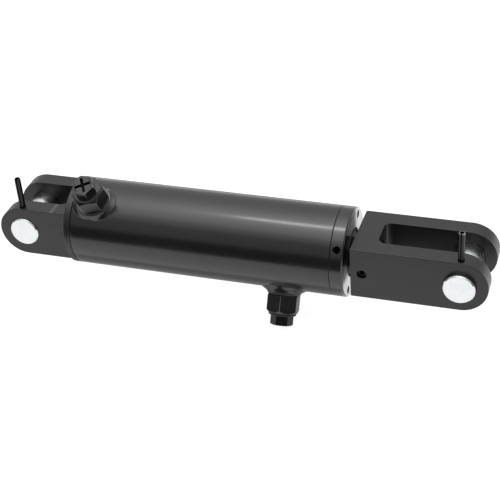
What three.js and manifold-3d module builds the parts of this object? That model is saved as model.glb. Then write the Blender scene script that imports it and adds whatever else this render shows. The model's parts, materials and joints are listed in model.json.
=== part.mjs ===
// Double-acting hydraulic cylinder, single piston rod, clevis at both ends.
// Millimetres, +Z up. +X runs from the base clevis to the rod clevis along the cylinder's axis.
// The origin is the centre of the base clevis pin. The camera side of the object is -Y.
import * as THREE from 'three';
import { mergeVertices } from 'three/addons/utils/BufferGeometryUtils.js';
import Module from 'manifold-3d';

const wasm = await Module();
wasm.setup();
const { Manifold, Mesh } = wasm;

// ---------------------------------------------------------------- driving dimensions
const PIN_TO_PIN = 362;        // retracted length between the clevis pins
const STROKE = 110;            // travel of the piston (used for the stop positions only)
const GAP = 0.15;              // clearance between pieces that seat on each other

const BARREL_R = 35.8, BORE_R = 30;
const BARREL_X0 = 45.15, BARREL_X1 = 262.4;

const CLEVIS_H = 21.8;         // half height, and radius of the round ends
const CLEVIS_W = 28;           // half width across the ears
const SLOT_W = 14;             // half width of the slot
const SLOT_CORNER = 6;         // radius in the closed corners of the slot
const PIN_R = 12.5, PIN_BORE_R = 12.6, PIN_LENGTH = 60, PIN_CHAMFER = 0.8;
const BASE_PIN_Y0 = -29.2;     // front end of the base pin
const ROD_PIN_Y0 = -32.1;      // front end of the rod pin

const BASE_FACE = 39.3;        // face of the base flange, where the ears start
const BASE_SPIGOT = 57;        // inner end of the base spigot
const BASE_SLOT = 35;          // closed end of the base slot

const SPRING_Y = -23.5;        // the spring pins stand in the front ears, nearer to their outer face
const SPRING_R = 2.5, SPRING_BORE_R = 1.6, SPRING_SLOT = 0.9, SPRING_LENGTH = 32;
const SPRING_HOLE_R = 2.6, PIN_CROSS_R = 2.85;
const BASE_SPRING_TIP = 16.8, ROD_SPRING_TIP = 14.3; // lower ends of the started spring pins, above the clevis pins

const ROD_R = 17.5, ROD_BORE_R = 17.65, ROD_SHOULDER = 272.7;     // the rod is turned down ahead of its shoulder
const ROD_X0 = 57.9, PISTON_X0 = 70.6, PISTON_X1 = 100.4;
const ROD_SPIGOT_R = 12, ROD_THREAD_R = 12;
const CLEVIS_X0 = 277.5, CLEVIS_SLOT = 296.2, ROD_X1 = 295;
const NUT_AF = 36, NUT_X0 = BASE_SPIGOT + 0.5;

const GLAND_X0 = 211, GLAND_SPIGOT = 227, GLAND_SEAM = 262.6, GLAND_X1 = 273;
const GLAND_SPIGOT_R = 29.6, GLAND_NOSE_R = 25;
const PIN_SPANNER_R = 30, SPANNER_HOLE_R = 2.9, PIN_SPANNER_ANGLE = -37.5;
const HOOK_ANGLE = 54.6, HOOK_X = 267.6;

const BASE_PORT_X = 63.3, BASE_PORT_ANGLE = 30.5;   // from +Z towards -Y
const ROD_PORT_X = 220.5, ROD_PORT_ANGLE = 150;
const BOSS_SPIGOT_R = 13, BOSS_HOLE_R = 13.3, BOSS_COLLAR_R = 14.4, BOSS_WELD_R = 18.6;
const BOSS_WELD_SIDE = 15.2;   // the weld is narrower round the barrel than along it
const BOSS_TOP = 38.6;
const WASHER_R = 13.5, WASHER_T = 1.1;
const HEX_AF = 24, HEX_Z0 = 40.0, HEX_Z1 = 55.6;
const BASE_HEX_TURN = 18.4, ROD_HEX_TURN = 26;    // turn of the adapters about their axes
const PLUG_AF = 16.2, PLUG_FLANGE_R = 11.2, PLUG_Z0 = 55.75, PLUG_Z1 = 57.2, PLUG_Z2 = 65.2;
const BASE_PLUG_TURN = 58, ROD_PLUG_TURN = 45;

// ---------------------------------------------------------------- helpers
const rad = (d) => (d * Math.PI) / 180;
const M = () => new THREE.Matrix4();

// A closed three.js geometry as a manifold: merged vertices, no needle triangles, faces out.
function solid(geometry, matrix) {
  let g = geometry.clone();
  g.deleteAttribute('normal');
  if (g.getAttribute('uv')) g.deleteAttribute('uv');
  g = mergeVertices(g, 1e-4);
  if (matrix) g.applyMatrix4(matrix);
  const p = g.getAttribute('position').array;
  const raw = g.getIndex().array;
  const tri = [];
  let volume = 0;
  for (let i = 0; i < raw.length; i += 3) {
    const [a, b, c] = [raw[i], raw[i + 1], raw[i + 2]];
    if (a === b || b === c || a === c) continue;
    tri.push(a, b, c);
    const [ax, ay, az] = [p[3 * a], p[3 * a + 1], p[3 * a + 2]];
    const [bx, by, bz] = [p[3 * b], p[3 * b + 1], p[3 * b + 2]];
    const [cx, cy, cz] = [p[3 * c], p[3 * c + 1], p[3 * c + 2]];
    volume += ax * (by * cz - bz * cy) - ay * (bx * cz - bz * cx) + az * (bx * cy - by * cx);
  }
  if (volume < 0) for (let i = 0; i < tri.length; i += 3) [tri[i + 1], tri[i + 2]] = [tri[i + 2], tri[i + 1]];
  return new Manifold(new Mesh({ numProp: 3, vertProperties: new Float32Array(p), triVerts: new Uint32Array(tri) }));
}

function geometryOf(manifold) {
  const m = manifold.getMesh();
  const g = new THREE.BufferGeometry();
  g.setAttribute('position', new THREE.BufferAttribute(new Float32Array(m.vertProperties), 3));
  g.setIndex(new THREE.BufferAttribute(new Uint32Array(m.triVerts), 1));
  g.computeVertexNormals();
  return g;
}

// Axes: a lathe turns about three.js's Y, which these matrices send to +X, +Z or -Y.
const TO_X = M().makeBasis(new THREE.Vector3(0, 0, 1), new THREE.Vector3(1, 0, 0), new THREE.Vector3(0, 1, 0));
const TO_Z = M().makeBasis(new THREE.Vector3(1, 0, 0), new THREE.Vector3(0, 0, 1), new THREE.Vector3(0, -1, 0));
const TO_Y = M().makeBasis(new THREE.Vector3(1, 0, 0), new THREE.Vector3(0, 1, 0), new THREE.Vector3(0, 0, 1));
const at = (x, y, z, m) => M().makeTranslation(x, y, z).multiply(m || M());

// profile: [radius, height] pairs. It starts and ends on the axis, or closes on itself.
function turned(profile, segments, matrix) {
  const pts = profile.map(([r, h]) => new THREE.Vector2(r, h));
  if (profile[0][0] > 1e-6) pts.push(pts[0].clone());
  return solid(new THREE.LatheGeometry(pts, segments), matrix);
}
function rod(radius, h0, h1, segments, matrix, chamfer = 0) {
  const c = chamfer;
  const pts = c
    ? [[0, h0], [radius - c, h0], [radius, h0 + c], [radius, h1 - c], [radius - c, h1], [0, h1]]
    : [[0, h0], [radius, h0], [radius, h1], [0, h1]];
  return turned(pts, segments, matrix);
}
function ring(inner, outer, h0, h1, segments, matrix, chamfer = 0) {
  const c = chamfer;
  const pts = c
    ? [[inner, h0], [outer - c, h0], [outer, h0 + c], [outer, h1 - c], [outer - c, h1], [inner, h1]]
    : [[inner, h0], [outer, h0], [outer, h1], [inner, h1]];
  return turned(pts, segments, matrix);
}
function oRing(middle, section, x, segments) {
  const pts = [];
  for (let i = 0; i < 6; i++) pts.push([middle + (section / 2) * Math.cos(rad(60 * i)), x + (section / 2) * Math.sin(rad(60 * i))]);
  return turned(pts, segments, TO_X);
}
function extruded(shape, depth, matrix, curveSegments = 12) {
  return solid(new THREE.ExtrudeGeometry(shape, { depth, bevelEnabled: false, curveSegments, steps: 1 }), matrix);
}
function ellipse(a, b) {
  const s = new THREE.Shape();
  for (let i = 0; i < 36; i++) {
    const [x, y] = [a * Math.cos(rad(10 * i + 5)), b * Math.sin(rad(10 * i + 5))];
    if (i) s.lineTo(x, y);
    else s.moveTo(x, y);
  }
  s.closePath();
  return s;
}
function hexagon(acrossFlats, turnDegrees) {
  const s = new THREE.Shape();
  const r = acrossFlats / 2 / Math.cos(rad(30));
  for (let i = 0; i < 6; i++) {
    const a = rad(60 * i + turnDegrees);
    if (i) s.lineTo(r * Math.cos(a), r * Math.sin(a));
    else s.moveTo(r * Math.cos(a), r * Math.sin(a));
  }
  s.closePath();
  return s;
}
function box(x0, x1, y0, y1, z0, z1) {
  return solid(new THREE.BoxGeometry(x1 - x0, y1 - y0, z1 - z0), at((x0 + x1) / 2, (y0 + y1) / 2, (z0 + z1) / 2));
}

const group = new THREE.Group();
const PAINT = { color: 0x1b1b1c, roughness: 0.35, metalness: 0.1 };
const ZINC = { color: 0xd9dadd, roughness: 0.3, metalness: 0.9 };
const CHROME = { color: 0xdfe2e5, roughness: 0.12, metalness: 1 };
const STEEL = { color: 0x8d9094, roughness: 0.4, metalness: 0.9 };
const RUBBER = { color: 0x111111, roughness: 0.7, metalness: 0 };
const PLASTIC = { color: 0x141414, roughness: 0.3, metalness: 0 };
const POLYMER = { color: 0x2c4c7a, roughness: 0.5, metalness: 0 };
const BLACK_STEEL = { color: 0x1a1a1b, roughness: 0.4, metalness: 0.6 };
function add(name, manifold, look) {
  const mesh = new THREE.Mesh(geometryOf(manifold), new THREE.MeshStandardMaterial(look));
  mesh.name = name;
  group.add(mesh);
}

// ---------------------------------------------------------------- barrel
const portMatrix = (x, angle) => {
  const n = new THREE.Vector3(0, -Math.sin(rad(angle)), Math.cos(rad(angle)));
  const e1 = new THREE.Vector3(1, 0, 0);
  const e2 = new THREE.Vector3().crossVectors(n, e1);
  return M().makeBasis(e1, e2, n).setPosition(x, 0, 0);
};
const PORTS = [
  { name: 'base_port', m: portMatrix(BASE_PORT_X, BASE_PORT_ANGLE), hexTurn: BASE_HEX_TURN, plugTurn: BASE_PLUG_TURN },
  { name: 'rod_port', m: portMatrix(ROD_PORT_X, ROD_PORT_ANGLE), hexTurn: ROD_HEX_TURN, plugTurn: ROD_PLUG_TURN },
];
const inPort = (port, m) => port.m.clone().multiply(m);

let tube = turned([[BORE_R, BARREL_X0], [BARREL_R - 0.6, BARREL_X0], [BARREL_R, BARREL_X0 + 0.6], [BARREL_R, BARREL_X1 - 0.4], [BARREL_R - 0.4, BARREL_X1], [BORE_R, BARREL_X1]], 48, TO_X);
for (const port of PORTS) tube = tube.subtract(rod(BOSS_HOLE_R, 20, 45, 24, inPort(port, TO_Z)));
add('barrel_tube', tube, PAINT);

// ---------------------------------------------------------------- clevises
// Side view of a clevis: straight from x0, round about the pin at xp. dir is +1 when the eye points to +X.
function clevisBlock(x0, xp, dir) {
  const s = new THREE.Shape();
  s.moveTo(x0, -CLEVIS_H);
  s.lineTo(xp, -CLEVIS_H);
  s.absarc(xp, 0, CLEVIS_H, -Math.PI / 2, Math.PI / 2, dir < 0);
  s.lineTo(x0, CLEVIS_H);
  s.closePath();
  // the shape's y is the object's z, and the extrusion runs along -Y
  const m = M().makeBasis(new THREE.Vector3(1, 0, 0), new THREE.Vector3(0, 0, 1), new THREE.Vector3(0, -1, 0)).setPosition(0, CLEVIS_W, 0);
  return extruded(s, 2 * CLEVIS_W, m, 20);
}
function clevisSlot(root, open) {
  const d = Math.sign(root - open), c = SLOT_CORNER;
  const s = new THREE.Shape();
  s.moveTo(open, -SLOT_W);
  s.lineTo(root - d * c, -SLOT_W);
  for (let i = 1; i <= 6; i++) s.lineTo(root - d * c + d * c * Math.sin(rad(15 * i)), -SLOT_W + c - c * Math.cos(rad(15 * i)));
  for (let i = 0; i <= 6; i++) s.lineTo(root - d * c + d * c * Math.cos(rad(15 * i)), SLOT_W - c + c * Math.sin(rad(15 * i)));
  s.lineTo(open, SLOT_W);
  s.closePath();
  return extruded(s, 80, at(0, 0, -40));
}
function clevisHoles(xp) {
  return rod(PIN_BORE_R, -40, 40, 40, at(xp, 0, 0, TO_Y)).add(rod(SPRING_HOLE_R, -30, 30, 16, at(xp, SPRING_Y, 0, TO_Z)));
}

// The base flange, its spigot in the barrel and the two ears are one machined piece.
const baseClevis = clevisBlock(BASE_FACE + 1, 0, -1)
  .subtract(clevisSlot(BASE_SLOT, -40))
  .subtract(clevisHoles(0))
  .add(turned([[0, BASE_FACE], [BARREL_R - 0.8, BASE_FACE], [BARREL_R, BASE_FACE + 0.8], [BARREL_R, BARREL_X0 - GAP - 0.6], [BARREL_R - 0.6, BARREL_X0 - GAP], [BORE_R - 0.4, BARREL_X0 - GAP],
    [BORE_R - 0.4, BASE_SPIGOT - 2], [BORE_R - 2.4, BASE_SPIGOT], [0, BASE_SPIGOT]], 48, TO_X));
add('base_clevis', baseClevis, PAINT);

const rodClevis = clevisBlock(CLEVIS_X0, PIN_TO_PIN, 1)
  .subtract(clevisSlot(CLEVIS_SLOT, PIN_TO_PIN + 40))
  .subtract(clevisHoles(PIN_TO_PIN))
  .subtract(rod(ROD_THREAD_R + 0.25, CLEVIS_X0 - 5, CLEVIS_SLOT + 3, 32, TO_X))
  .subtract(rod(3.8, -CLEVIS_W - 5, -10, 20, at(286.5, 0, 0, TO_Y)));
add('rod_clevis', rodClevis, PAINT);

// ---------------------------------------------------------------- clevis pins and their spring pins
function clevisPin(xp, y0) {
  return rod(PIN_R, y0, y0 + PIN_LENGTH, 40, at(xp, 0, 0, TO_Y), PIN_CHAMFER)
    .subtract(rod(PIN_CROSS_R, -30, 30, 16, at(xp, SPRING_Y, 0, TO_Z)));
}
function springPin(xp, z0) {
  const z1 = z0 + SPRING_LENGTH;
  return turned([[SPRING_BORE_R, z0], [SPRING_R - 0.4, z0], [SPRING_R, z0 + 0.9], [SPRING_R, z1 - 0.9], [SPRING_R - 0.4, z1], [SPRING_BORE_R, z1]], 16, at(xp, SPRING_Y, 0, TO_Z))
    .subtract(box(xp - SPRING_SLOT / 2, xp + SPRING_SLOT / 2, SPRING_Y - 4, SPRING_Y, z0 - 1, z1 + 1));
}
add('base_clevis_pin', clevisPin(0, BASE_PIN_Y0), ZINC);
add('base_spring_pin', springPin(0, BASE_SPRING_TIP), BLACK_STEEL);
add('rod_clevis_pin', clevisPin(PIN_TO_PIN, ROD_PIN_Y0), ZINC);
add('rod_spring_pin', springPin(PIN_TO_PIN, ROD_SPRING_TIP), BLACK_STEEL);

// ---------------------------------------------------------------- ports
const barrelOut = rod(BARREL_R + 0.3, -50, 400, 48, TO_X);
const barrelIn = rod(BORE_R + 0.4, -50, 400, 48, TO_X);
for (const port of PORTS) {
  // welded boss: a weld fillet outside the barrel, a collar, and a spigot through the barrel wall
  const outside = turned([[0, 15], [BOSS_WELD_R - 1, 15], [BOSS_WELD_R - 1, 31], [BOSS_WELD_R, 34.6], [BOSS_WELD_R - 1, 36.1], [BOSS_COLLAR_R + 1, 37.3], [BOSS_COLLAR_R, 38], [BOSS_COLLAR_R, BOSS_TOP - 0.2], [BOSS_COLLAR_R - 0.2, BOSS_TOP], [0, BOSS_TOP]], 24, inPort(port, TO_Z))
    .intersect(extruded(ellipse(BOSS_WELD_R + 0.3, BOSS_WELD_SIDE), 40, inPort(port, at(0, 0, 10))))
    .subtract(barrelOut);
  const spigot = rod(BOSS_SPIGOT_R, 20, 37, 24, inPort(port, TO_Z)).subtract(barrelIn);
  add(port.name + '_boss', outside.add(spigot)
    .subtract(rod(8.5, 32.5, 45, 24, inPort(port, TO_Z)))
    .subtract(rod(4, 10, 45, 12, inPort(port, TO_Z))), PAINT);
  add(port.name + '_seal_washer', ring(8.6, WASHER_R, BOSS_TOP + GAP, BOSS_TOP + GAP + WASHER_T, 24, inPort(port, TO_Z)), BLACK_STEEL);
  // adapter: a threaded shank in the boss, a hexagon with a chamfered outer end, a threaded port in it
  const hexBody = extruded(hexagon(HEX_AF, port.hexTurn), HEX_Z1 - HEX_Z0, inPort(port, at(0, 0, HEX_Z0)))
    .intersect(turned([[0, HEX_Z0 - 1], [HEX_AF / 2 + 0.2, HEX_Z0 - 1], [HEX_AF / 2 + 0.2, HEX_Z0], [HEX_AF / 2 + 2.2, HEX_Z0 + 1.2], [HEX_AF / 2 + 2.2, HEX_Z1 - 2.9], [HEX_AF / 2 - 0.7, HEX_Z1], [0, HEX_Z1]], 24, inPort(port, TO_Z)));
  add(port.name + '_adapter', hexBody
    .add(rod(8.2, 33, HEX_Z0 + 1, 24, inPort(port, TO_Z)))
    .subtract(rod(8.1, 46, 70, 24, inPort(port, TO_Z)))
    .subtract(rod(4.5, 20, 70, 12, inPort(port, TO_Z))), BLACK_STEEL);
  // transport plug: threaded shank, round flange, hexagon head with a crossed screwdriver slot
  const cross = (turn) => {
    const b = new THREE.BoxGeometry(13.4, 2.3, 7);
    return solid(b, inPort(port, at(0, 0, PLUG_Z2, M().makeRotationZ(rad(port.plugTurn + turn)))));
  };
  const head = extruded(hexagon(PLUG_AF, port.plugTurn), PLUG_Z2 - PLUG_Z1 + 0.5, inPort(port, at(0, 0, PLUG_Z1 - 0.5)))
    .intersect(turned([[0, 50], [PLUG_AF / 2 + 2, 50], [PLUG_AF / 2 + 2, PLUG_Z2 - 0.9], [PLUG_AF / 2 + 0.3, PLUG_Z2], [0, PLUG_Z2]], 24, inPort(port, TO_Z)));
  add(port.name + '_plug', rod(7.8, 47, PLUG_Z0 + 1, 24, inPort(port, TO_Z))
    .add(rod(PLUG_FLANGE_R, PLUG_Z0, PLUG_Z1, 24, inPort(port, TO_Z), 0.3))
    .add(head)
    .subtract(cross(60)).subtract(cross(150)), PLASTIC);
}

// ---------------------------------------------------------------- gland and its seals
const polar = (r, angle) => [-r * Math.sin(rad(angle)), r * Math.cos(rad(angle))];
let gland = turned([
  [ROD_BORE_R, GLAND_X0], [GLAND_NOSE_R - 1, GLAND_X0], [GLAND_NOSE_R, GLAND_X0 + 1], [GLAND_NOSE_R, GLAND_SPIGOT],
  [GLAND_SPIGOT_R - 1, GLAND_SPIGOT], [GLAND_SPIGOT_R, GLAND_SPIGOT + 1], [GLAND_SPIGOT_R, 231], [26.0, 231], [26.0, 236.8], [GLAND_SPIGOT_R, 236.8],
  [GLAND_SPIGOT_R, GLAND_SEAM], [BARREL_R - 0.4, GLAND_SEAM], [BARREL_R, GLAND_SEAM + 0.4], [BARREL_R, GLAND_X1 - 1], [BARREL_R - 1, GLAND_X1],
  [19.6, GLAND_X1], [19.6, 270.5], [21.8, 270.5], [21.8, 264.8], [ROD_BORE_R, 264.8],
  [ROD_BORE_R, 254], [20.3, 254], [20.3, 246], [ROD_BORE_R, 246],
  [ROD_BORE_R, 240], [22.7, 240], [22.7, 232], [ROD_BORE_R, 232],
  [ROD_BORE_R, 222], [20.3, 222], [20.3, 214], [ROD_BORE_R, 214],
], 36, TO_X);
for (const turn of [0, 180]) {
  const [py, pz] = polar(PIN_SPANNER_R, PIN_SPANNER_ANGLE + turn);
  gland = gland.subtract(rod(SPANNER_HOLE_R, GLAND_X1 - 6, GLAND_X1 + 5, 16, at(0, py, pz, TO_X)));
  gland = gland.subtract(rod(SPANNER_HOLE_R, 27, 45, 16, portMatrix(HOOK_X, HOOK_ANGLE + turn).multiply(TO_Z)));
}
add('gland', gland, PAINT);
add('gland_o_ring', oRing(27.9, 3.2, 233, 24), RUBBER);
add('gland_backup_ring', ring(26.4, 29.6, 235, 236.5, 24, TO_X), POLYMER);
add('rod_guide_ring_inner', ring(17.7, 20.1, 214.3, 221.7, 24, TO_X), POLYMER);
add('rod_seal', turned([[17.7, 232.4], [18.9, 232.4], [20.1, 234.6], [21.3, 232.4], [22.4, 232.4], [22.4, 239.7], [17.9, 239.7]], 24, TO_X), POLYMER);
add('rod_guide_ring_outer', ring(17.7, 20.1, 246.3, 253.7, 24, TO_X), POLYMER);
add('rod_wiper', turned([[17.95, 265.1], [21.5, 265.1], [21.5, 270.2], [19.3, 270.2], [18.6, 273.3], [17.8, 273.3]], 24, TO_X), RUBBER);

// ---------------------------------------------------------------- rod, piston and its rings
add('piston_rod', turned([
  [0, ROD_X0], [ROD_SPIGOT_R - 1.2, ROD_X0], [ROD_SPIGOT_R, ROD_X0 + 1.2], [ROD_SPIGOT_R, 84], [10, 84], [10, 88], [ROD_SPIGOT_R, 88],
  [ROD_SPIGOT_R, PISTON_X1 + 0.1], [ROD_R - 0.5, PISTON_X1 + 0.1], [ROD_R, PISTON_X1 + 0.6],
  [ROD_R, ROD_SHOULDER - 0.8], [ROD_R - 0.8, ROD_SHOULDER], [ROD_THREAD_R, ROD_SHOULDER], [ROD_THREAD_R, ROD_X1 - 1.2], [ROD_THREAD_R - 1.2, ROD_X1], [0, ROD_X1],
], 32, TO_X), CHROME);
add('piston', turned([
  [ROD_SPIGOT_R + 0.15, PISTON_X0], [28.6, PISTON_X0], [29.6, PISTON_X0 + 1],
  [29.6, 73], [27, 73], [27, 79], [29.6, 79], [29.6, 82.5], [24.6, 82.5], [24.6, 90.5], [29.6, 90.5], [29.6, 92.5], [27, 92.5], [27, 98.5], [29.6, 98.5],
  [29.6, PISTON_X1 - 1], [28.6, PISTON_X1], [ROD_SPIGOT_R + 0.15, PISTON_X1],
], 24, TO_X), STEEL);
add('piston_o_ring', ring(10.25, 11.95, 84.4, 87.6, 24, TO_X), RUBBER);
const nutBody = extruded(hexagon(NUT_AF, 0), PISTON_X0 - 0.15 - NUT_X0, M().makeBasis(new THREE.Vector3(0, 1, 0), new THREE.Vector3(0, 0, 1), new THREE.Vector3(1, 0, 0)).setPosition(NUT_X0, 0, 0))
  .intersect(rod(20.4, NUT_X0 - 1e-3, PISTON_X0, 24, TO_X, 1.2))
  .subtract(rod(ROD_SPIGOT_R + 0.15, 40, 90, 24, TO_X));
add('piston_nut', nutBody, STEEL);
add('piston_guide_ring_rear', ring(27.3, 29.8, 73.3, 78.7, 24, TO_X), POLYMER);
add('piston_seal', ring(24.9, 29.85, 82.8, 90.2, 24, TO_X), RUBBER);
add('piston_guide_ring_front', ring(27.3, 29.8, 92.8, 98.2, 24, TO_X), POLYMER);

// ---------------------------------------------------------------- set screw that locks the clevis on the rod thread
const setScrew = rod(3.6, -25.9, -13.9, 20, at(286.5, 0, 0, TO_Y), 0.5)
  .subtract(extruded(hexagon(4, 0), 6, M().makeBasis(new THREE.Vector3(1, 0, 0), new THREE.Vector3(0, 0, 1), new THREE.Vector3(0, -1, 0)).setPosition(286.5, -21.9, 0)));
add('clevis_set_screw', setScrew, BLACK_STEEL);

export default group;
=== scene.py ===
import json
import math

import bmesh
import bpy
from mathutils import Matrix, Vector

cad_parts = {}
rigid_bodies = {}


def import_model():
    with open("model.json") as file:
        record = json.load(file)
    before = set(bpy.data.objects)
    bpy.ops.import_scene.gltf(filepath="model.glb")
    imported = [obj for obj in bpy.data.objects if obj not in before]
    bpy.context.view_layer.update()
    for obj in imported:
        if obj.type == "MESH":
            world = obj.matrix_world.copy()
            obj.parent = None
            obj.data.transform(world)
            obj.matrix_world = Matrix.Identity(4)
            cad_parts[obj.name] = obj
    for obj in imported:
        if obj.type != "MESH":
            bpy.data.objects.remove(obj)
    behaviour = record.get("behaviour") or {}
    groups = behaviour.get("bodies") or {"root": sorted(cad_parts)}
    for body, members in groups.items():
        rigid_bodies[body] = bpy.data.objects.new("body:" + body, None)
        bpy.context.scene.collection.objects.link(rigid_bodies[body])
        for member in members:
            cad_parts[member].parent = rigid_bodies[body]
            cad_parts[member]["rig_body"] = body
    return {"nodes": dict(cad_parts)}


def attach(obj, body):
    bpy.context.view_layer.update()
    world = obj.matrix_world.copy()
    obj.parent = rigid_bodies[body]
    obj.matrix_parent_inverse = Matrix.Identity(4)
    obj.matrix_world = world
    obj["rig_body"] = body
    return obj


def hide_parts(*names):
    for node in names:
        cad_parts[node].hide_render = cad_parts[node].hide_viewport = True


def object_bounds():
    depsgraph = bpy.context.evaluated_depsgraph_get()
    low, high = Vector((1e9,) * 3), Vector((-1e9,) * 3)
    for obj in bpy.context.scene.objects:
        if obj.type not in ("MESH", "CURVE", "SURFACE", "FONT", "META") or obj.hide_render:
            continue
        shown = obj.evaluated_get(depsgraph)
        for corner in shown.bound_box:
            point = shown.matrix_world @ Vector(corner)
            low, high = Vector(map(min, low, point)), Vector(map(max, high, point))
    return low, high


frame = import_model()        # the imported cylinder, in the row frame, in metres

CAD_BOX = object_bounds()
SCENE = bpy.context.scene
rad = math.radians

# ------------------------------------------------------------------ dimensions, in millimetres, as in the CAD
PIN_TO_PIN = 362.0
BARREL_R, BORE_R, BARREL_X0, BARREL_X1 = 35.8, 30.0, 45.15, 262.4
CLEVIS_H, CLEVIS_W, SLOT_W, SLOT_CORNER = 21.8, 28.0, 14.0, 6.0
BASE_FACE, BASE_SLOT, BASE_SPIGOT = 39.3, 35.0, 57.0
CLEVIS_X0, CLEVIS_SLOT = 277.5, 296.2
PIN_R, PIN_BORE_R, PIN_LENGTH, PIN_CHAMFER = 12.5, 12.6, 60.0, 0.8
BASE_PIN_Y0, ROD_PIN_Y0, SPRING_Y = -29.2, -32.1, -23.5
BASE_SPRING_TIP, ROD_SPRING_TIP = 16.8, 14.3
GLAND_X1, PIN_SPANNER_ANGLE, HOOK_ANGLE = 273.0, -37.5, 54.6
PORTS = {"base_port": (63.3, 30.5, 18.4, 58.0), "rod_port": (220.5, 150.0, 26.0, 45.0)}

# local Z of a turned piece sent to the object's +X, -Y and +Z
TO_X = Matrix(((0, 0, 1, 0), (1, 0, 0, 0), (0, 1, 0, 0), (0, 0, 0, 1)))
TO_Y = Matrix(((1, 0, 0, 0), (0, 0, -1, 0), (0, 1, 0, 0), (0, 0, 0, 1)))
TO_Z = Matrix.Identity(4)


def at(x, y, z, m=TO_Z):
    return Matrix.Translation((x, y, z)) @ m


def port_matrix(x, angle):
    n = Vector((0, -math.sin(rad(angle)), math.cos(rad(angle))))
    e1 = Vector((1, 0, 0))
    e2 = n.cross(e1)
    return Matrix(((e1.x, e2.x, n.x, x), (e1.y, e2.y, n.y, 0), (e1.z, e2.z, n.z, 0), (0, 0, 0, 1)))


# ------------------------------------------------------------------ mesh helpers, all in millimetres until finish_piece
def link(bm, name):
    bmesh.ops.remove_doubles(bm, verts=bm.verts, dist=1e-5)
    bmesh.ops.recalc_face_normals(bm, faces=bm.faces)
    me = bpy.data.meshes.new(name)
    bm.to_mesh(me)
    bm.free()
    ob = bpy.data.objects.new(name, me)
    SCENE.collection.objects.link(ob)
    return ob


def rounded(points, closed, steps=4):
    """Corner points (r, h[, fillet]) to a polyline with real fillets."""
    out, n = [], len(points)
    for i, p in enumerate(points):
        f = p[2] if len(p) > 2 else 0
        b = Vector(p[:2])
        if f <= 0 or (not closed and i in (0, n - 1)):
            out.append((b.x, b.y))
            continue
        a, c = Vector(points[i - 1][:2]), Vector(points[(i + 1) % n][:2])
        u, v = (a - b), (c - b)
        lu, lv = u.length, v.length
        u.normalize()
        v.normalize()
        ang = u.angle(v)
        t = min(f / math.tan(ang / 2), lu * 0.49, lv * 0.49)
        f2 = t * math.tan(ang / 2)
        centre = b + (u + v).normalized() * (f2 / math.sin(ang / 2))
        p0, p1 = b + u * t - centre, b + v * t - centre
        a0, a1 = math.atan2(p0.y, p0.x), math.atan2(p1.y, p1.x)
        d = (a1 - a0 + math.pi) % (2 * math.pi) - math.pi
        for k in range(steps + 1):
            q = a0 + d * k / steps
            out.append((centre.x + f2 * math.cos(q), centre.y + f2 * math.sin(q)))
    return out


def lathe(name, points, seg, m=TO_Z, height=None):
    """Turned body. The profile starts and ends on the axis, or closes on itself. height(r, h, angle) may bend it."""
    closed = points[0][0] > 1e-6
    prof = rounded(points, closed)
    bm = bmesh.new()
    rings = []
    for r, h in prof:
        if r < 1e-6:
            rings.append([bm.verts.new(m @ Vector((0, 0, h)))])
        else:
            ring = []
            for k in range(seg):
                a = 2 * math.pi * k / seg
                rr, hh = (r, h) if height is None else height(r, h, a)
                ring.append(bm.verts.new(m @ Vector((rr * math.cos(a), rr * math.sin(a), hh))))
            rings.append(ring)
    pairs = list(zip(rings, rings[1:])) + ([(rings[-1], rings[0])] if closed else [])
    for a, b in pairs:
        for k in range(seg):
            k2 = (k + 1) % seg
            if len(a) == 1 and len(b) == 1:
                continue
            if len(a) == 1:
                bm.faces.new((a[0], b[k2], b[k]))
            elif len(b) == 1:
                bm.faces.new((a[k], a[k2], b[0]))
            else:
                bm.faces.new((a[k], a[k2], b[k2], b[k]))
    return link(bm, name)


def prism(name, outline, h0, h1, m=TO_Z):
    bm = bmesh.new()
    low = [bm.verts.new(m @ Vector((x, y, h0))) for x, y in outline]
    high = [bm.verts.new(m @ Vector((x, y, h1))) for x, y in outline]
    n = len(outline)
    bm.faces.new(low)
    bm.faces.new(high)
    for k in range(n):
        bm.faces.new((low[k], low[(k + 1) % n], high[(k + 1) % n], high[k]))
    return link(bm, name)


def rod(name, radius, h0, h1, seg, m=TO_Z):
    return lathe(name, [(0, h0), (radius, h0), (radius, h1), (0, h1)], seg, m)


def settle(ob):
    """Applies every modifier on ob."""
    bpy.context.view_layer.update()
    dg = bpy.context.evaluated_depsgraph_get()
    me = bpy.data.meshes.new_from_object(ob.evaluated_get(dg))
    ob.modifiers.clear()
    old, ob.data = ob.data, me
    bpy.data.meshes.remove(old)
    return ob


def cut(ob, *others, op="DIFFERENCE"):
    for other in others:
        mod = ob.modifiers.new("cut", "BOOLEAN")
        mod.operation, mod.object, mod.solver = op, other, "EXACT"
        settle(ob)
        bpy.data.objects.remove(other)
    return ob


def bevel(ob, width, segments=3, angle=40):
    bm = bmesh.new()
    bm.from_mesh(ob.data)
    bmesh.ops.remove_doubles(bm, verts=bm.verts, dist=2e-3)
    bmesh.ops.dissolve_limit(bm, angle_limit=rad(0.4), verts=bm.verts, edges=bm.edges)
    bm.to_mesh(ob.data)
    bm.free()
    mod = ob.modifiers.new("bevel", "BEVEL")
    mod.width, mod.segments, mod.limit_method, mod.angle_limit = width, segments, "ANGLE", rad(angle)
    mod.use_clamp_overlap = False
    mod.miter_outer = "MITER_ARC"
    return settle(ob)


def arc(cx, cy, r, a0, a1, steps):
    return [(cx + r * math.cos(rad(a0 + (a1 - a0) * k / steps)), cy + r * math.sin(rad(a0 + (a1 - a0) * k / steps))) for k in range(steps + 1)]


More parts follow.
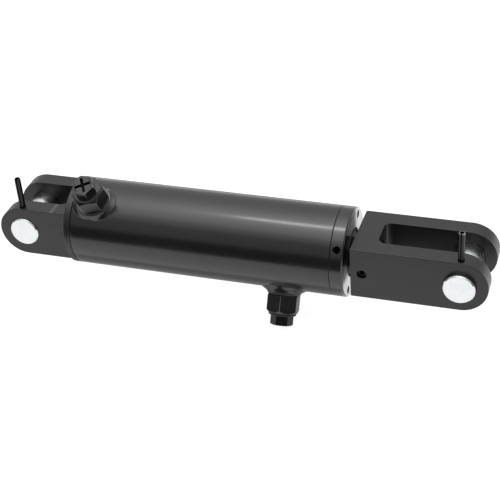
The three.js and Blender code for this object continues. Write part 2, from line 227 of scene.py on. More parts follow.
def hexagon(across_flats, turn, corner=0.0):
    """A hexagon with its corners rounded by corner."""
    r = across_flats / 2 / math.cos(rad(30))
    pts = []
    for k in range(6):
        a = rad(60 * k + turn)
        if corner <= 0:
            pts.append((r * math.cos(a), r * math.sin(a)))
            continue
        d = r - corner / math.cos(rad(30))
        cx, cy = d * math.cos(a), d * math.sin(a)
        for j in range(4):
            b = a + rad(-30 + 20 * j)
            pts.append((cx + corner * math.cos(b), cy + corner * math.sin(b)))
    return pts


BODY_OF = {n: o["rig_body"] for n, o in frame["nodes"].items()}


def finish_piece(ob, node, material, sharp=38, weighted=True):
    me = ob.data
    me.transform(Matrix.Scale(0.001, 4))
    me.materials.clear()
    for one in material if isinstance(material, (list, tuple)) else [material]:
        me.materials.append(one)
    me.polygons.foreach_set("use_smooth", [True] * len(me.polygons))
    me.set_sharp_from_angle(angle=rad(sharp))
    me.update()
    ob.name = node + "_look"
    if weighted:
        mod = ob.modifiers.new("normals", "WEIGHTED_NORMAL")
        mod.keep_sharp = True
        mod.weight = 60
    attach(ob, BODY_OF[node])
    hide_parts(node)
    return ob


# ------------------------------------------------------------------ materials
class Nodes:
    def __init__(self, name):
        self.m = bpy.data.materials.new(name)
        self.m.use_nodes = True
        self.t = self.m.node_tree
        self.t.nodes.clear()
        self.out = self.new("ShaderNodeOutputMaterial")
        self.p = self.new("ShaderNodeBsdfPrincipled")
        self.link(self.p.outputs[0], self.out.inputs[0])
        self.co = self.new("ShaderNodeTexCoord").outputs["Object"]

    def new(self, kind, **values):
        n = self.t.nodes.new(kind)
        for k, v in values.items():
            setattr(n, k, v)
        return n

    def link(self, a, b):
        self.t.links.new(a, b)

    def noise(self, scale, detail=4.0, rough=0.55, stretch=None, distortion=0.0):
        n = self.new("ShaderNodeTexNoise")
        n.inputs["Scale"].default_value = scale
        n.inputs["Detail"].default_value = detail
        n.inputs["Roughness"].default_value = rough
        n.inputs["Distortion"].default_value = distortion
        src = self.co
        if stretch:
            mp = self.new("ShaderNodeMapping")
            mp.inputs["Scale"].default_value = stretch
            self.link(self.co, mp.inputs["Vector"])
            src = mp.outputs[0]
        self.link(src, n.inputs["Vector"])
        return n.outputs["Fac"]

    def remap(self, value, a, b, lo, hi, smooth=False):
        n = self.new("ShaderNodeMapRange")
        if smooth:
            n.interpolation_type = "SMOOTHSTEP"
        for k, v in zip(("From Min", "From Max", "To Min", "To Max"), (a, b, lo, hi)):
            n.inputs[k].default_value = v
        self.link(value, n.inputs["Value"])
        return n.outputs["Result"]

    def math(self, op, a, b=None, c=None):
        n = self.new("ShaderNodeMath", operation=op)
        for i, v in enumerate((a, b, c)):
            if v is None:
                continue
            if isinstance(v, (int, float)):
                n.inputs[i].default_value = v
            else:
                self.link(v, n.inputs[i])
        return n.outputs[0]

    def mix(self, fac, a, b):
        n = self.new("ShaderNodeMix", data_type="RGBA")
        self.link(fac, n.inputs["Factor"]) if not isinstance(fac, float) else setattr(n.inputs["Factor"], "default_value", fac)
        for v, s in ((a, n.inputs[6]), (b, n.inputs[7])):
            if isinstance(v, tuple):
                s.default_value = (*v, 1)
            else:
                self.link(v, s)
        return n.outputs[2]

    def bump(self, height, strength, distance, below=None):
        n = self.new("ShaderNodeBump")
        n.inputs["Strength"].default_value = strength
        n.inputs["Distance"].default_value = distance
        self.link(height, n.inputs["Height"])
        if below is not None:
            self.link(below, n.inputs["Normal"])
        return n.outputs[0]

    def radius(self, x, y, z, axis):
        """Distance from a line along one axis through (x, y, z)."""
        sub = self.new("ShaderNodeVectorMath", operation="SUBTRACT")
        self.link(self.co, sub.inputs[0])
        sub.inputs[1].default_value = (x, y, z)
        mul = self.new("ShaderNodeVectorMath", operation="MULTIPLY")
        self.link(sub.outputs[0], mul.inputs[0])
        mul.inputs[1].default_value = tuple(0 if k == axis else 1 for k in range(3))
        length = self.new("ShaderNodeVectorMath", operation="LENGTH")
        self.link(mul.outputs[0], length.inputs[0])
        return length.outputs["Value"]

    def set(self, **values):
        for k, v in values.items():
            self.p.inputs[k.replace("_", " ")].default_value = v
        return self

    def to(self, socket, value):
        self.link(value, self.p.inputs[socket])


def paint(name, dark, light, rough, spread, peel=1.0, coat=0.0, coat_rough=0.1, ior=1.5, grain=0.0, light_band=False):
    """Black enamel: slow tone changes, orange peel, a little settled dust and fine handling marks."""
    n = Nodes(name)
    n.set(Metallic=0.0, IOR=ior, Coat_Weight=coat, Coat_Roughness=coat_rough)
    slow = n.noise(22, 3, 0.5)
    tone = n.mix(n.remap(slow, 0.35, 0.68, 0, 1), dark, light)
    dust = n.math("MULTIPLY", n.remap(n.noise(2600, 2, 0.6), 0.66, 0.74, 0, 1), n.remap(n.noise(60, 3, 0.6), 0.48, 0.62, 0, 0.5))
    if light_band:     # a lighter band across the top of the base clevis' front ear
        xyz = n.new("ShaderNodeSeparateXYZ")
        n.link(n.co, xyz.inputs[0])
        off = n.math("ABSOLUTE", n.math("SUBTRACT", n.math("ADD", xyz.outputs["X"], n.math("MULTIPLY", slow, 0.004)), 0.0295))
        band = n.math("MULTIPLY", n.remap(off, 0.0006, 0.0020, 1, 0, True), n.remap(xyz.outputs["Z"], 0.0212, 0.0216, 0, 1))
        band = n.math("MULTIPLY", band, n.remap(xyz.outputs["Y"], -0.0150, -0.0135, 1, 0))
        tone = n.mix(n.math("MULTIPLY", band, n.remap(n.noise(500, 4, 0.6), 0.3, 0.7, 0.35, 1.0)), tone, (0.080, 0.068, 0.066))
    n.to("Base Color", n.mix(dust, tone, (0.09, 0.088, 0.085)))
    marks = n.remap(n.noise(90, 6, 0.65, stretch=(0.25, 1, 1)), 0.3, 0.7, -spread, spread)
    n.to("Roughness", n.math("ADD", n.math("ADD", marks, rough), n.math("MULTIPLY", dust, 0.3)))
    b = n.bump(n.noise(620, 2, 0.4), 0.35 * peel, 0.00004)
    b = n.bump(n.noise(3600, 2, 0.5), 0.12 * peel, 0.00002, b)
    if grain:
        b = n.bump(n.noise(420, 3, 0.6, stretch=(0.06, 1, 1)), grain, 0.00005, b)
    n.to("Normal", b)
    return n.m


def metal(name, colour, tint, rough, spread, centre=None, axis=1, pitch=9000.0, groove=0.25, stain=0.0, fleck=0.0, bumps=0.10):
    """Bare or plated metal with turning marks about an axis, slow colour changes and light stains."""
    n = Nodes(name)
    n.set(Metallic=1.0)
    slow = n.noise(110, 4, 0.6)
    base = n.mix(n.remap(slow, 0.35, 0.7, 0, 1), colour, tint)
    if stain:
        spots = n.math("MULTIPLY", n.remap(n.noise(420, 5, 0.7), 0.6, 0.75, 0, stain), 1.0)
        base = n.mix(spots, base, (0.42, 0.40, 0.36))
    n.to("Base Color", base)
    r = n.remap(n.noise(300, 5, 0.6), 0.3, 0.7, rough - spread, rough + spread)
    if fleck:
        r = n.math("ADD", r, n.remap(n.noise(1500, 3, 0.6), 0.55, 0.75, 0, fleck))
    n.to("Roughness", r)
    b = n.bump(n.noise(1900, 3, 0.5), bumps, 0.00003)
    if centre:
        ring = n.math("SINE", n.math("MULTIPLY", n.radius(*centre, axis), pitch))
        b = n.bump(n.math("ADD", ring, n.noise(700, 2, 0.5)), groove, 0.00001, b)
    n.to("Normal", b)
    return n.m


def moulded(name, dark, light, rough, spread, scale=900.0, depth=0.25, spec=0.5):
    """Moulded plastic or rubber."""
    n = Nodes(name)
    n.set(Metallic=0.0, IOR=1.5, Specular_IOR_Level=spec)
    n.to("Base Color", n.mix(n.remap(n.noise(120, 4, 0.6), 0.35, 0.65, 0, 1), dark, light))
    n.to("Roughness", n.remap(n.noise(260, 4, 0.6), 0.3, 0.7, rough - spread, rough + spread))
    n.to("Normal", n.bump(n.noise(scale, 3, 0.5), depth, 0.00004))
    return n.m


BARREL_PAINT = paint("barrel_enamel", (0.0060, 0.0058, 0.0060), (0.0080, 0.0077, 0.0079), 0.23, 0.05, coat=0.2, coat_rough=0.10)
CLEVIS_PAINT = paint("clevis_enamel", (0.0068, 0.0058, 0.0060), (0.0092, 0.0080, 0.0082), 0.33, 0.05, peel=1.2, grain=0.18)
BASE_CLEVIS_PAINT = paint("base_clevis_enamel", (0.0068, 0.0058, 0.0060), (0.0092, 0.0080, 0.0082), 0.33, 0.05, peel=1.2, grain=0.18, light_band=True)
GLAND_PAINT = paint("gland_enamel", (0.0060, 0.0058, 0.0060), (0.0080, 0.0077, 0.0079), 0.22, 0.05, coat=0.25, coat_rough=0.10)
WELD_PAINT = paint("weld_enamel", (0.0060, 0.0058, 0.0060), (0.0080, 0.0077, 0.0079), 0.24, 0.06, peel=2.2, coat=0.3, coat_rough=0.12)
GLAND_FACE = metal("gland_turned_face", (0.42, 0.41, 0.405), (0.36, 0.355, 0.35), 0.17, 0.03, centre=(0, 0, 0), axis=0, pitch=12000, groove=0.03, stain=0.15, bumps=0.02)
ADAPTER = paint("adapter_black", (0.0042, 0.0042, 0.0045), (0.0062, 0.0062, 0.0066), 0.24, 0.05, peel=0.6, coat=0.2, coat_rough=0.12)
ZINC_BASE = metal("zinc_base", (0.73, 0.745, 0.75), (0.68, 0.70, 0.715), 0.20, 0.06, centre=(0, 0, 0), axis=1, pitch=11000, groove=0.22, stain=0.30, fleck=0.10)
ZINC_ROD = metal("zinc_rod", (0.73, 0.745, 0.75), (0.68, 0.70, 0.715), 0.20, 0.06, centre=(0.362, 0, 0), axis=1, pitch=11000, groove=0.22, stain=0.30, fleck=0.10)
SPRING_STEEL = metal("spring_steel_black", (0.045, 0.044, 0.044), (0.030, 0.030, 0.031), 0.30, 0.08, stain=0.0, fleck=0.15)
PLUG = moulded("plug_black", (0.0035, 0.0035, 0.0037), (0.0055, 0.0055, 0.0058), 0.20, 0.06, scale=700, depth=0.2)
WASHER = metal("washer_black", (0.10, 0.10, 0.10), (0.07, 0.07, 0.07), 0.35, 0.06)
RUBBER = moulded("nitrile_black", (0.012, 0.012, 0.012), (0.02, 0.02, 0.02), 0.50, 0.10, scale=1500, depth=0.35, spec=0.35)
GUIDE = moulded("guide_polymer", (0.035, 0.10, 0.20), (0.05, 0.13, 0.24), 0.42, 0.08, scale=1200, depth=0.3)
SEAL = moulded("seal_polyurethane", (0.02, 0.09, 0.28), (0.03, 0.12, 0.34), 0.34, 0.08, scale=900, depth=0.25)
CHROME = metal("hard_chrome", (0.72, 0.73, 0.74), (0.68, 0.69, 0.70), 0.08, 0.02, centre=(0, 0, 0), axis=0, pitch=16000, groove=0.10)
STEEL = metal("machined_steel", (0.46, 0.45, 0.44), (0.38, 0.375, 0.37), 0.30, 0.07, centre=(0, 0, 0), axis=0, pitch=9000, groove=0.35, stain=0.2)
SCREW = metal("screw_black", (0.035, 0.035, 0.036), (0.025, 0.025, 0.026), 0.33, 0.08)

# lighter paint for corners and chamfers: rubbed-thin paint together with a painted edge highlight
WORN_EDGE_AND_HIGHLIGHT = paint("worn_edge_and_highlight", (0.045, 0.044, 0.043), (0.095, 0.093, 0.090), 0.34, 0.08, peel=0.6)
# black overspray on the rod's neck, darker and duller than the clevis enamel as painted shade for the gap between gland
# and clevis
NECK_PAINT_AND_SHADE = paint("neck_enamel_and_shade", (0.0032, 0.0030, 0.0031), (0.0045, 0.0042, 0.0043), 0.42, 0.06, ior=1.35)
# painted shade for the insides of holes and slots
DARK_HOLE = moulded("hole_shadow", (0.0018, 0.0018, 0.0018), (0.0028, 0.0028, 0.0028), 0.65, 0.1, scale=1500, depth=0.3, spec=0.12)
# bare worn rim that is also a painted highlight on the spring pin's top
WORN_RIM_AND_HIGHLIGHT = metal("spring_rim_worn_and_highlight", (0.42, 0.42, 0.41), (0.20, 0.20, 0.20), 0.26, 0.06, fleck=0.1)

# ------------------------------------------------------------------ barrel
tube = lathe("tube", [(BORE_R, BARREL_X0), (BARREL_R, BARREL_X0, 0.75), (BARREL_R, BARREL_X0 + 4), (BARREL_R, 150), (BARREL_R, BARREL_X1 - 4), (BARREL_R, BARREL_X1, 0.45), (BORE_R, BARREL_X1), (BORE_R, 150)], 160, TO_X)
for x, angle, hex_turn, plug_turn in PORTS.values():
    cut(tube, rod("c", 13.3, 20, 45, 64, port_matrix(x, angle)))
finish_piece(tube, "barrel_tube", BARREL_PAINT, weighted=False)


# ------------------------------------------------------------------ clevises
def clevis_block(x0, xp, sign):
    """Side outline of a fork in x and z, pushed out across the ears."""
    if sign > 0:
        pts = [(x0, -CLEVIS_H)] + arc(xp, 0, CLEVIS_H, -90, 90, 64) + [(x0, CLEVIS_H)]
    else:
        pts = [(x0, CLEVIS_H)] + arc(xp, 0, CLEVIS_H, 90, 270, 64) + [(x0, -CLEVIS_H)]
    return prism("fork", pts, -CLEVIS_W, CLEVIS_W, TO_Y)


def clevis_slot(root, open_x):
    d = 1 if root > open_x else -1
    c = SLOT_CORNER
    pts = [(open_x, -SLOT_W)]
    pts += [(root - d * c + d * c * math.sin(rad(9 * k)), -SLOT_W + c - c * math.cos(rad(9 * k))) for k in range(11)]
    pts += [(root - d * c + d * c * math.cos(rad(9 * k)), SLOT_W - c + c * math.sin(rad(9 * k))) for k in range(11)]
    pts += [(open_x, SLOT_W)]
    return prism("slot", pts, -40, 40)


def clevis(x0, xp, sign, root, open_x):
    ob = clevis_block(x0, xp, sign)
    cut(ob, clevis_slot(root, open_x))
    cut(ob, rod("bore", PIN_BORE_R, -40, 40, 96, at(xp, 0, 0, TO_Y)))
    cut(ob, rod("hole", 2.6, -30, 30, 32, at(xp, SPRING_Y, 0)))
    return ob


base = clevis(BASE_FACE + 1, 0, -1, BASE_SLOT, -40)
bevel(base, 0.45)
flange = lathe("flange", [(0, BASE_FACE), (BARREL_R, BASE_FACE, 0.9), (BARREL_R, BARREL_X0 - 0.15, 0.75), (BORE_R - 0.4, BARREL_X0 - 0.15, 0.2), (BORE_R - 0.4, BASE_SPIGOT - 2), (BORE_R - 2.4, BASE_SPIGOT), (0, BASE_SPIGOT)], 160, TO_X)
cut(base, flange, op="UNION")
finish_piece(base, "base_clevis", BASE_CLEVIS_PAINT)

fork = clevis(CLEVIS_X0, PIN_TO_PIN, 1, CLEVIS_SLOT, PIN_TO_PIN + 40)
cut(fork, rod("thread", 12.25, CLEVIS_X0 - 5, CLEVIS_SLOT + 3, 64, TO_X))
cut(fork, rod("screw", 3.8, 10, CLEVIS_W + 5, 40, at(286.5, 0, 0, TO_Y)))
bevel(fork, 0.45)
finish_piece(fork, "rod_clevis", CLEVIS_PAINT)


# ------------------------------------------------------------------ clevis pins, spring pins
def clevis_pin(xp, y0, node, material):
    ob = lathe("pin", [(0, -y0 - PIN_LENGTH), (PIN_R - PIN_CHAMFER, -y0 - PIN_LENGTH, 0.2), (PIN_R, -y0 - PIN_LENGTH + PIN_CHAMFER, 0.3), (PIN_R, -y0 - 30), (PIN_R, -y0 - PIN_CHAMFER, 0.3), (PIN_R - PIN_CHAMFER, -y0, 0.2), (0, -y0)], 96, at(xp, 0, 0, TO_Y))
    cut(ob, rod("cross", 2.85, -30, 30, 32, at(xp, SPRING_Y, 0)))
    return finish_piece(ob, node, material)


clevis_pin(0, BASE_PIN_Y0, "base_clevis_pin", ZINC_BASE)
clevis_pin(PIN_TO_PIN, ROD_PIN_Y0, "rod_clevis_pin", ZINC_ROD)


def spring_pin(xp, z0, node):
    z1 = z0 + 32.0
    ob = lathe("spring", [(1.6, z0, 0.15), (2.1, z0, 0.2), (2.5, z0 + 0.9, 0.5), (2.5, z0 + 16), (2.5, z1 - 0.9, 0.5), (2.1, z1, 0.2), (1.6, z1, 0.15), (1.6, z0 + 16)], 48, at(xp, SPRING_Y, 0))
    cut(ob, prism("slit", [(-0.45, -4), (0.45, -4), (0.45, 0), (-0.45, 0)], z0 - 1, z1 + 1, at(xp, SPRING_Y, 0)))
    bevel(ob, 0.12, 2, 50)
    finish_piece(ob, node, [SPRING_STEEL, WORN_RIM_AND_HIGHLIGHT])
    # only the rod pin's top rim gets the bright bare finish, worn metal together with a painted highlight
    for face in ob.data.polygons:
        if xp > 0 and face.center.z > 0.001 * z1 - 0.0010 and face.normal.z > 0.25:
            face.material_index = 1
    return ob


spring_pin(0, BASE_SPRING_TIP, "base_spring_pin")
spring_pin(PIN_TO_PIN, ROD_SPRING_TIP, "rod_spring_pin")


# ------------------------------------------------------------------ ports
def saddle(radius, r, a):
    """Height above the port's foot of a cylinder of that radius about the barrel's axis, at polar r, a."""
    return math.sqrt(max(radius * radius - (r * math.sin(a)) ** 2, 0))


def boss(m, node, seed):
    # profile points: (radius, height, 'flat') or (radius, height over the barrel's skin, 'skin')
    prof = [(4, -4.9, 1), (4, 32.5, 0), (8.5, 32.5, 0), (8.5, 38.0, 0), (9.0, 38.6, 0), (13.9, 38.6, 0), (14.25, 38.5, 0), (14.4, 38.2, 0)]
    weld = [(0.0, 2.55), (0.05, 2.40), (0.14, 2.10), (0.28, 1.72), (0.42, 1.38), (0.56, 1.08), (0.68, 0.82), (0.80, 0.56), (0.88, 0.36), (0.94, 0.16), (0.98, -0.08), (1.0, -0.35)]
    seg = 180
    bm = bmesh.new()
    rings = []

    def ring(r, f):
        rings.append([bm.verts.new(m @ Vector((rr * math.cos(a), rr * math.sin(a), hh))) for a, (rr, hh) in ((2 * math.pi * k / seg, f(r, 2 * math.pi * k / seg)) for k in range(seg))])

    for r, h, skin in prof:
        ring(r, (lambda r, a, h=h: (r, saddle(BARREL_R, r, a) + h)) if skin else (lambda r, a, h=h: (r, h)))
    def toe(a):
        """The weld is wide along the barrel and narrow round it."""
        return 15.0 + 3.75 * abs(math.cos(a)) ** 1.25

    for t, rise in weld:
        edge = math.sin(math.pi * t)

        def f(r, a, t=t, rise=rise, edge=edge):
            # weld ripples, crescents that lag towards the toes
            phase = 46 * (a + 0.05 * edge) + 1.3 * math.sin(3 * a + seed) + 0.6 * math.sin(7 * a + 2 * seed)
            ripple = 0.09 * edge * math.sin(phase)
            wander = (0.12 * math.sin(5 * a + seed) + 0.08 * math.sin(11 * a + 3 * seed)) * t * t
            rr = 14.42 + (toe(a) + wander - 14.42) * t
            return rr, saddle(BARREL_R, rr, a) + rise + ripple + 0.08 * edge * math.sin(4 * a + seed)
        ring(0, f)
    ring(0, lambda r, a: (toe(a) - 0.3, saddle(BARREL_R - 0.9, toe(a), a)))
    for radius in (BARREL_R - 0.9, 30.4):
        ring(13.0, lambda r, a, radius=radius: (r, saddle(radius, r, a)))
    ring(4, lambda r, a: (r, saddle(30.4, r, a)))
    rings.pop(0)
    for a, b in list(zip(rings, rings[1:])) + [(rings[-1], rings[0])]:
        for k in range(seg):
            k2 = (k + 1) % seg
            bm.faces.new((a[k], a[k2], b[k2], b[k]))
    loose = [v for v in bm.verts if not v.link_faces]
    bmesh.ops.delete(bm, geom=loose, context="VERTS")
    return finish_piece(link(bm, "boss"), node, WELD_PAINT, sharp=50, weighted=False)


def adapter(m, turn, node):
    ob = prism("hex", hexagon(24, turn, 0.5), 40.0, 55.6, m)
    cut(ob, lathe("turn", [(0, 39), (12.2, 39), (12.2, 40.0), (14.2, 41.2), (14.2, 52.7), (8.5, 58.4), (0, 58.4)], 96, m), op="INTERSECT")
    cut(ob, rod("shank", 8.2, 33, 45, 48, m), op="UNION")
    cut(ob, rod("bore", 8.1, 46, 70, 48, m), rod("way", 4.5, 20, 70, 32, m))
    bevel(ob, 0.22, 2, 24)
    finish_piece(ob, node, [ADAPTER, WORN_EDGE_AND_HIGHLIGHT])
    inv = m.inverted()
    for face in ob.data.polygons:       # the corners get a lighter finish: paint rubbed thin together with a painted highlight along the hexagon's corners
        c = inv @ (face.center * 1000)
        n = inv.to_3x3() @ face.normal
        off = abs((math.degrees(math.atan2(n.y, n.x)) - turn) % 60 - 30)
        if math.hypot(c.x, c.y) > 12.6 and abs(n.z) < 0.62 and off > 8:
            face.material_index = 1
    return ob


def plug(m, turn, node):
    ob = prism("head", hexagon(16.2, turn, 0.7), 56.7, 65.2, m)
    cut(ob, lathe("turn", [(0, 50), (10.1, 50), (10.1, 64.3), (6.7, 66.1), (0, 66.1)], 96, m), op="INTERSECT")
    for extra in (60, 150):
        a = m @ Matrix.Rotation(rad(turn + extra), 4, "Z")
        arm = arc(6.7 - 1.15, 0, 1.15, -90, 90, 8) + arc(-6.7 + 1.15, 0, 1.15, 90, 270, 8)
        cut(ob, prism("arm", arm, 61.7, 70, a))
    cut(ob, lathe("skirt", [(0, 47), (6.9, 47), (7.8, 48, 0.2), (7.8, 55.75, 0.2), (11.2, 55.75, 0.25), (11.2, 57.2, 0.75), (0, 57.2)], 96, m), op="UNION")
    bevel(ob, 0.22, 2, 35)
    finish_piece(ob, node, [PLUG, DARK_HOLE, WORN_EDGE_AND_HIGHLIGHT])
    inv = m.inverted()
    for face in ob.data.polygons:
        c = inv @ (face.center * 1000)
        n = inv.to_3x3() @ face.normal
        # the head's chamfer ring gets the lighter edge finish, a painted highlight with rubbed paint
        if 6.9 < math.hypot(c.x, c.y) and c.z > 64.0 and 0.2 < n.z < 0.97:
            face.material_index = 2
        # the cross slot's floor and walls get painted shade
        if 61.0 < c.z < 64.9 and math.hypot(c.x, c.y) < 6.75 and (n.z > 0.9 or n.dot(Vector((c.x, c.y, 0)).normalized()) < 0.3):
            face.material_index = 1
    return ob


for i, (name, (x, angle, hex_turn, plug_turn)) in enumerate(PORTS.items()):
    m = port_matrix(x, angle)
    boss(m, name + "_boss", 1.7 + 2.1 * i)
    finish_piece(lathe("washer", [(8.6, 38.75, 0.1), (13.5, 38.75, 0.25), (13.5, 39.85, 0.25), (8.6, 39.85, 0.1)], 96, m), name + "_seal_washer", WASHER)
    adapter(m, hex_turn, name + "_adapter")
    plug(m, plug_turn, name + "_plug")

# ------------------------------------------------------------------ gland
gland = lathe("gland", [
    (17.65, 211, 0.3), (25, 211, 1.0), (25, 227), (29.6, 227, 1.0), (29.6, 231, 0.1), (26.0, 231), (26.0, 236.8), (29.6, 236.8, 0.1),
    (29.6, 262.6), (BARREL_R, 262.6, 0.45), (BARREL_R, 266), (BARREL_R, 273 - 1.0, 0.35), (BARREL_R - 1.0, 273, 0.35),
    (19.6, 273, 0.3), (19.6, 270.5), (21.8, 270.5), (21.8, 264.8), (17.65, 264.8),
    (17.65, 254), (20.3, 254), (20.3, 246), (17.65, 246),
    (17.65, 240), (22.7, 240), (22.7, 232), (17.65, 232),
    (17.65, 222), (20.3, 222), (20.3, 214), (17.65, 214)], 160, TO_X)
for turn in (0, 180):
    a = rad(PIN_SPANNER_ANGLE + turn)
    cut(gland, lathe("c", [(0, 267), (2.9, 267), (2.9, 272.7), (3.2, 273.0), (3.2, 276), (0, 276)], 40, at(0, -30 * math.sin(a), 30 * math.cos(a), TO_X)))
    cut(gland, lathe("c", [(0, 27), (2.9, 27), (2.9, 35.2), (3.2, 35.5), (3.2, 45), (0, 45)], 40, port_matrix(267.6, HOOK_ANGLE + turn)))
gland = finish_piece(gland, "gland", [GLAND_PAINT, GLAND_FACE, DARK_HOLE])
for face in gland.data.polygons:
    c = face.center
    r = math.hypot(c.y, c.z)
    if c.x > 0.27295 and r > 0.0196:
        face.material_index = 1
    # the spanner holes' walls and bottoms get painted shade
    for turn in (0, 180):
        a, b = rad(PIN_SPANNER_ANGLE + turn), rad(HOOK_ANGLE + turn)
        in_face = math.hypot(c.y + 0.030 * math.sin(a), c.z - 0.030 * math.cos(a)) < 0.0030 and 0.2665 < c.x < 0.2724
        along = -c.y * math.sin(b) + c.z * math.cos(b)
        in_side = math.hypot(c.x - 0.2676, math.sqrt(max(r * r - along * along, 0))) < 0.0030 and 0.0265 < along < 0.0352
        if in_face or in_side:
            face.material_index = 2
finish_piece(lathe("o", [(27.9 + 1.6 * math.cos(rad(15 * k)), 233 + 1.6 * math.sin(rad(15 * k))) for k in range(24)], 128, TO_X), "gland_o_ring", RUBBER)
finish_piece(lathe("o", [(26.4, 235, 0.1), (29.6, 235, 0.1), (29.6, 236.5, 0.1), (26.4, 236.5, 0.1)], 128, TO_X), "gland_backup_ring", SEAL)
for node, x0, x1 in (("rod_guide_ring_inner", 214.3, 221.7), ("rod_guide_ring_outer", 246.3, 253.7)):
    finish_piece(lathe("g", [(17.7, x0, 0.3), (20.1, x0, 0.3), (20.1, x1, 0.3), (17.7, x1, 0.3)], 128, TO_X), node, GUIDE)
finish_piece(lathe("s", [(17.7, 232.4, 0.15), (18.9, 232.4, 0.1), (20.1, 234.6, 0.4), (21.3, 232.4, 0.1), (22.4, 232.4, 0.15), (22.4, 239.7, 0.3), (17.9, 239.7, 0.3)], 128, TO_X), "rod_seal", SEAL)
finish_piece(lathe("w", [(17.95, 265.1, 0.2), (21.5, 265.1, 0.3), (21.5, 270.2, 0.3), (19.3, 270.2, 0.5), (18.6, 273.3, 0.2), (17.8, 273.3, 0.1)], 160, TO_X), "rod_wiper", RUBBER)

# ------------------------------------------------------------------ rod, piston, nut, rings
finish_piece(lathe("rod", [
    (0, 57.9), (10.8, 57.9, 0.2), (12, 59.1, 0.2), (12, 84), (10, 84), (10, 88), (12, 88), (12, 100.5, 0.2), (17, 100.5, 0.2), (17.5, 101.0, 0.2),
    (17.5, 190), (17.5, 271.9, 0.3), (16.7, 272.7, 0.2), (12.4, 272.7, 0.4), (12, 273.1, 0.2), (12, 280), (12, 294), (11, 295), (0, 295)], 160, TO_X), "piston_rod", [CHROME, NECK_PAINT_AND_SHADE])
for face in bpy.data.objects["piston_rod_look"].data.polygons:
    if face.center.x > 0.27265:     # the shoulder and the neck ahead of it are painted black like the clevis, in a darker, duller enamel that is also painted shade for the gap
        face.material_index = 1
finish_piece(lathe("piston", [
    (12.15, 70.6, 0.3), (28.6, 70.6, 0.3), (29.6, 71.6, 0.3), (29.6, 73), (27, 73), (27, 79), (29.6, 79), (29.6, 82.5), (24.6, 82.5), (24.6, 90.5),
    (29.6, 90.5), (29.6, 92.5), (27, 92.5), (27, 98.5), (29.6, 98.5), (29.6, 99.4, 0.3), (28.6, 100.4, 0.3), (12.15, 100.4, 0.3)], 128, TO_X), "piston", STEEL)
finish_piece(lathe("o", [(11.1 + 0.83 * math.cos(rad(18 * k)), 86 + 1.58 * math.sin(rad(18 * k))) for k in range(20)], 96, TO_X), "piston_o_ring", RUBBER)
nut = prism("nut", hexagon(36, 90, 0.8), 57.5, 70.45, TO_X)
cut(nut, lathe("turn", [(0, 56.5), (18.0, 56.5), (20.4, 58.9), (20.4, 69.2), (18.2, 71.45), (0, 71.45)], 96, TO_X), op="INTERSECT")
cut(nut, rod("bore", 12.15, 40, 90, 64, TO_X))
bevel(nut, 0.2, 2, 24)
finish_piece(nut, "piston_nut", STEEL)
for node, x0, x1 in (("piston_guide_ring_rear", 73.3, 78.7), ("piston_guide_ring_front", 92.8, 98.2)):
    finish_piece(lathe("g", [(27.3, x0, 0.3), (29.8, x0, 0.3), (29.8, x1, 0.3), (27.3, x1, 0.3)], 128, TO_X), node, GUIDE)
finish_piece(lathe("s", [(24.9, 82.8, 0.3), (29.85, 82.8, 0.3), (29.85, 90.2, 0.3), (24.9, 90.2, 0.3)], 128, TO_X), "piston_seal", RUBBER)

# ------------------------------------------------------------------ set screw
screw = lathe("screw", [(0, 13.9), (3.0, 13.9, 0.1), (3.6, 14.5, 0.2), (3.6, 25.3, 0.2), (3.0, 25.9, 0.15), (0, 25.9)], 48, at(286.5, 0, 0, TO_Y))
cut(screw, prism("socket", hexagon(4, 0), 21.9, 30, at(286.5, 0, 0, TO_Y)))
finish_piece(screw, "clevis_set_screw", SCREW)

# ------------------------------------------------------------------ floor, flags, lights, camera
FLOOR_Z = CAD_BOX[0].z - 0.0005


def sheet(name, corners):
    me = bpy.data.meshes.new(name)
    me.from_pydata(corners, [], [(0, 1, 2, 3)])
    ob = bpy.data.objects.new(name, me)
    SCENE.collection.objects.link(ob)
    return ob


floor = sheet("floor", [(-6, -6, FLOOR_Z), (6, -6, FLOOR_Z), (6, 6, FLOOR_Z), (-6, 6, FLOOR_Z)])
fn = Nodes("floor_white")
fn.set(Base_Color=(0.22, 0.22, 0.22, 1), Roughness=0.9, Specular_IOR_Level=0.05, Emission_Color=(1, 1, 1, 1), Emission_Strength=0.93)
floor.data.materials.append(fn.m)

# a low dark flag in front of the object, seen only in reflections
flag = sheet("flag", [(-1.6, -0.215, FLOOR_Z + 0.0005), (2.0, -0.215, FLOOR_Z + 0.0005), (2.0, -0.235, 0.045), (-1.6, -0.235, 0.045)])
flag.visible_camera = flag.visible_diffuse = flag.visible_shadow = flag.visible_transmission = flag.visible_volume_scatter = False
gn = Nodes("flag_dark")
gn.set(Base_Color=(0.02, 0.02, 0.02, 1), Roughness=1.0, Specular_IOR_Level=0.0, Emission_Color=(1, 1, 1, 1), Emission_Strength=0.02)
flag.data.materials.append(gn.m)

# what the object's underside and lower rim reflect: the floor in its own shade
shade = sheet("shade", [(-1.2, -0.045, FLOOR_Z + 0.0004), (0.262, -0.045, FLOOR_Z + 0.0004), (0.262, 0.60, FLOOR_Z + 0.0004), (-1.2, 0.60, FLOOR_Z + 0.0004)])
shade.visible_camera = shade.visible_diffuse = shade.visible_shadow = shade.visible_transmission = shade.visible_volume_scatter = False
sn = Nodes("shade_grey")
sn.set(Base_Color=(0.10, 0.10, 0.10, 1), Roughness=1.0, Specular_IOR_Level=0.0, Emission_Color=(1, 1, 1, 1), Emission_Strength=0.42)
shade.data.materials.append(sn.m)

# the studio: bright overhead, white behind the object, dim towards the camera
world = bpy.data.worlds.new("studio")
SCENE.world = world
world.use_nodes = True
wt = world.node_tree
wt.nodes.clear()


def wnode(kind, **values):
    n = wt.nodes.new(kind)
    for k, v in values.items():
        setattr(n, k, v)
    return n


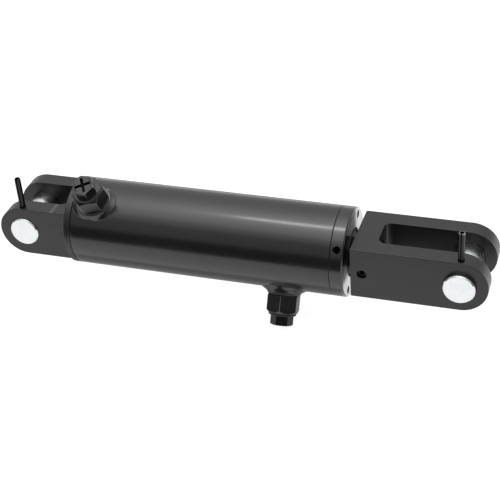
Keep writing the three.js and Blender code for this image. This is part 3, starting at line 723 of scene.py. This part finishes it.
w_out, w_bg, w_co, w_xyz = wnode("ShaderNodeOutputWorld"), wnode("ShaderNodeBackground"), wnode("ShaderNodeTexCoord"), wnode("ShaderNodeSeparateXYZ")
wt.links.new(w_co.outputs["Generated"], w_xyz.inputs[0])
ramp = wnode("ShaderNodeValToRGB")      # by height, towards the camera
ramp.color_ramp.interpolation = "EASE"
back_ramp = wnode("ShaderNodeValToRGB")  # by height, behind the object
back_ramp.color_ramp.interpolation = "EASE"


def stops(node, pairs):
    cr = node.color_ramp
    while len(cr.elements) > 1:
        cr.elements.remove(cr.elements[0])
    cr.elements[0].position = pairs[0][0]
    cr.elements[0].color = (pairs[0][1],) * 3 + (1,)
    for p, v in pairs[1:]:
        e = cr.elements.new(p)
        e.color = (v, v, v, 1)


# positions are the sine of the elevation
stops(ramp, [(0.0, 0.03), (0.18, 0.05), (0.30, 0.16), (0.60, 0.17), (0.75, 0.36), (0.88, 0.72), (0.96, 1.0)])
stops(back_ramp, [(0.0, 0.20), (0.35, 0.22), (0.60, 0.30), (0.75, 0.42), (0.85, 0.58), (0.94, 0.90), (1.0, 1.0)])
wt.links.new(w_xyz.outputs["Z"], ramp.inputs[0])
wt.links.new(w_xyz.outputs["Z"], back_ramp.inputs[0])
side = wnode("ShaderNodeMapRange", interpolation_type="SMOOTHSTEP")
side.inputs["From Min"].default_value, side.inputs["From Max"].default_value = -0.25, 0.25
wt.links.new(w_xyz.outputs["Y"], side.inputs["Value"])
w_mix = wnode("ShaderNodeMix", data_type="RGBA")
wt.links.new(side.outputs["Result"], w_mix.inputs["Factor"])
wt.links.new(ramp.outputs["Color"], w_mix.inputs[6])
wt.links.new(back_ramp.outputs["Color"], w_mix.inputs[7])
wt.links.new(w_mix.outputs[2], w_bg.inputs["Color"])
w_bg.inputs["Strength"].default_value = 3.0
wt.links.new(w_bg.outputs[0], w_out.inputs[0])


def area(name, location, target, size_x, size_y, power):
    data = bpy.data.lights.new(name, "AREA")
    data.shape, data.size, data.size_y, data.energy = "RECTANGLE", size_x, size_y, power
    ob = bpy.data.objects.new(name, data)
    SCENE.collection.objects.link(ob)
    ob.location = location
    ob.rotation_mode = "QUATERNION"
    ob.rotation_quaternion = (Vector(target) - Vector(location)).to_track_quat("-Z", "Y")
    return ob


area("strip", (0.06, -0.015, 1.0), (0.06, -0.015, 0), 0.34, 0.10, 1.1)

az, el, roll, dist, focal = rad(20.571), rad(34.574), rad(-4.839), 1.0566, 1305.67
right = Vector((math.cos(az), math.sin(az), 0))
up = Vector((-math.sin(az) * math.sin(el), math.cos(az) * math.sin(el), math.cos(el)))
back = Vector((math.sin(az) * math.cos(el), -math.cos(az) * math.cos(el), math.sin(el)))
cam_x = math.cos(roll) * right + math.sin(roll) * up
cam_y = -math.sin(roll) * right + math.cos(roll) * up
place = Vector((0.18689, 0, -0.010745)) + back * dist
cam = bpy.data.objects.new("camera", bpy.data.cameras.new("camera"))
SCENE.collection.objects.link(cam)
cam.matrix_world = Matrix(((cam_x.x, cam_y.x, back.x, place.x), (cam_x.y, cam_y.y, back.y, place.y), (cam_x.z, cam_y.z, back.z, place.z), (0, 0, 0, 1)))
cam.data.sensor_width = 36
cam.data.lens = 36 * focal / 500
SCENE.camera = cam
SCENE.view_settings.view_transform = "Standard"
SCENE.view_settings.look = "None"
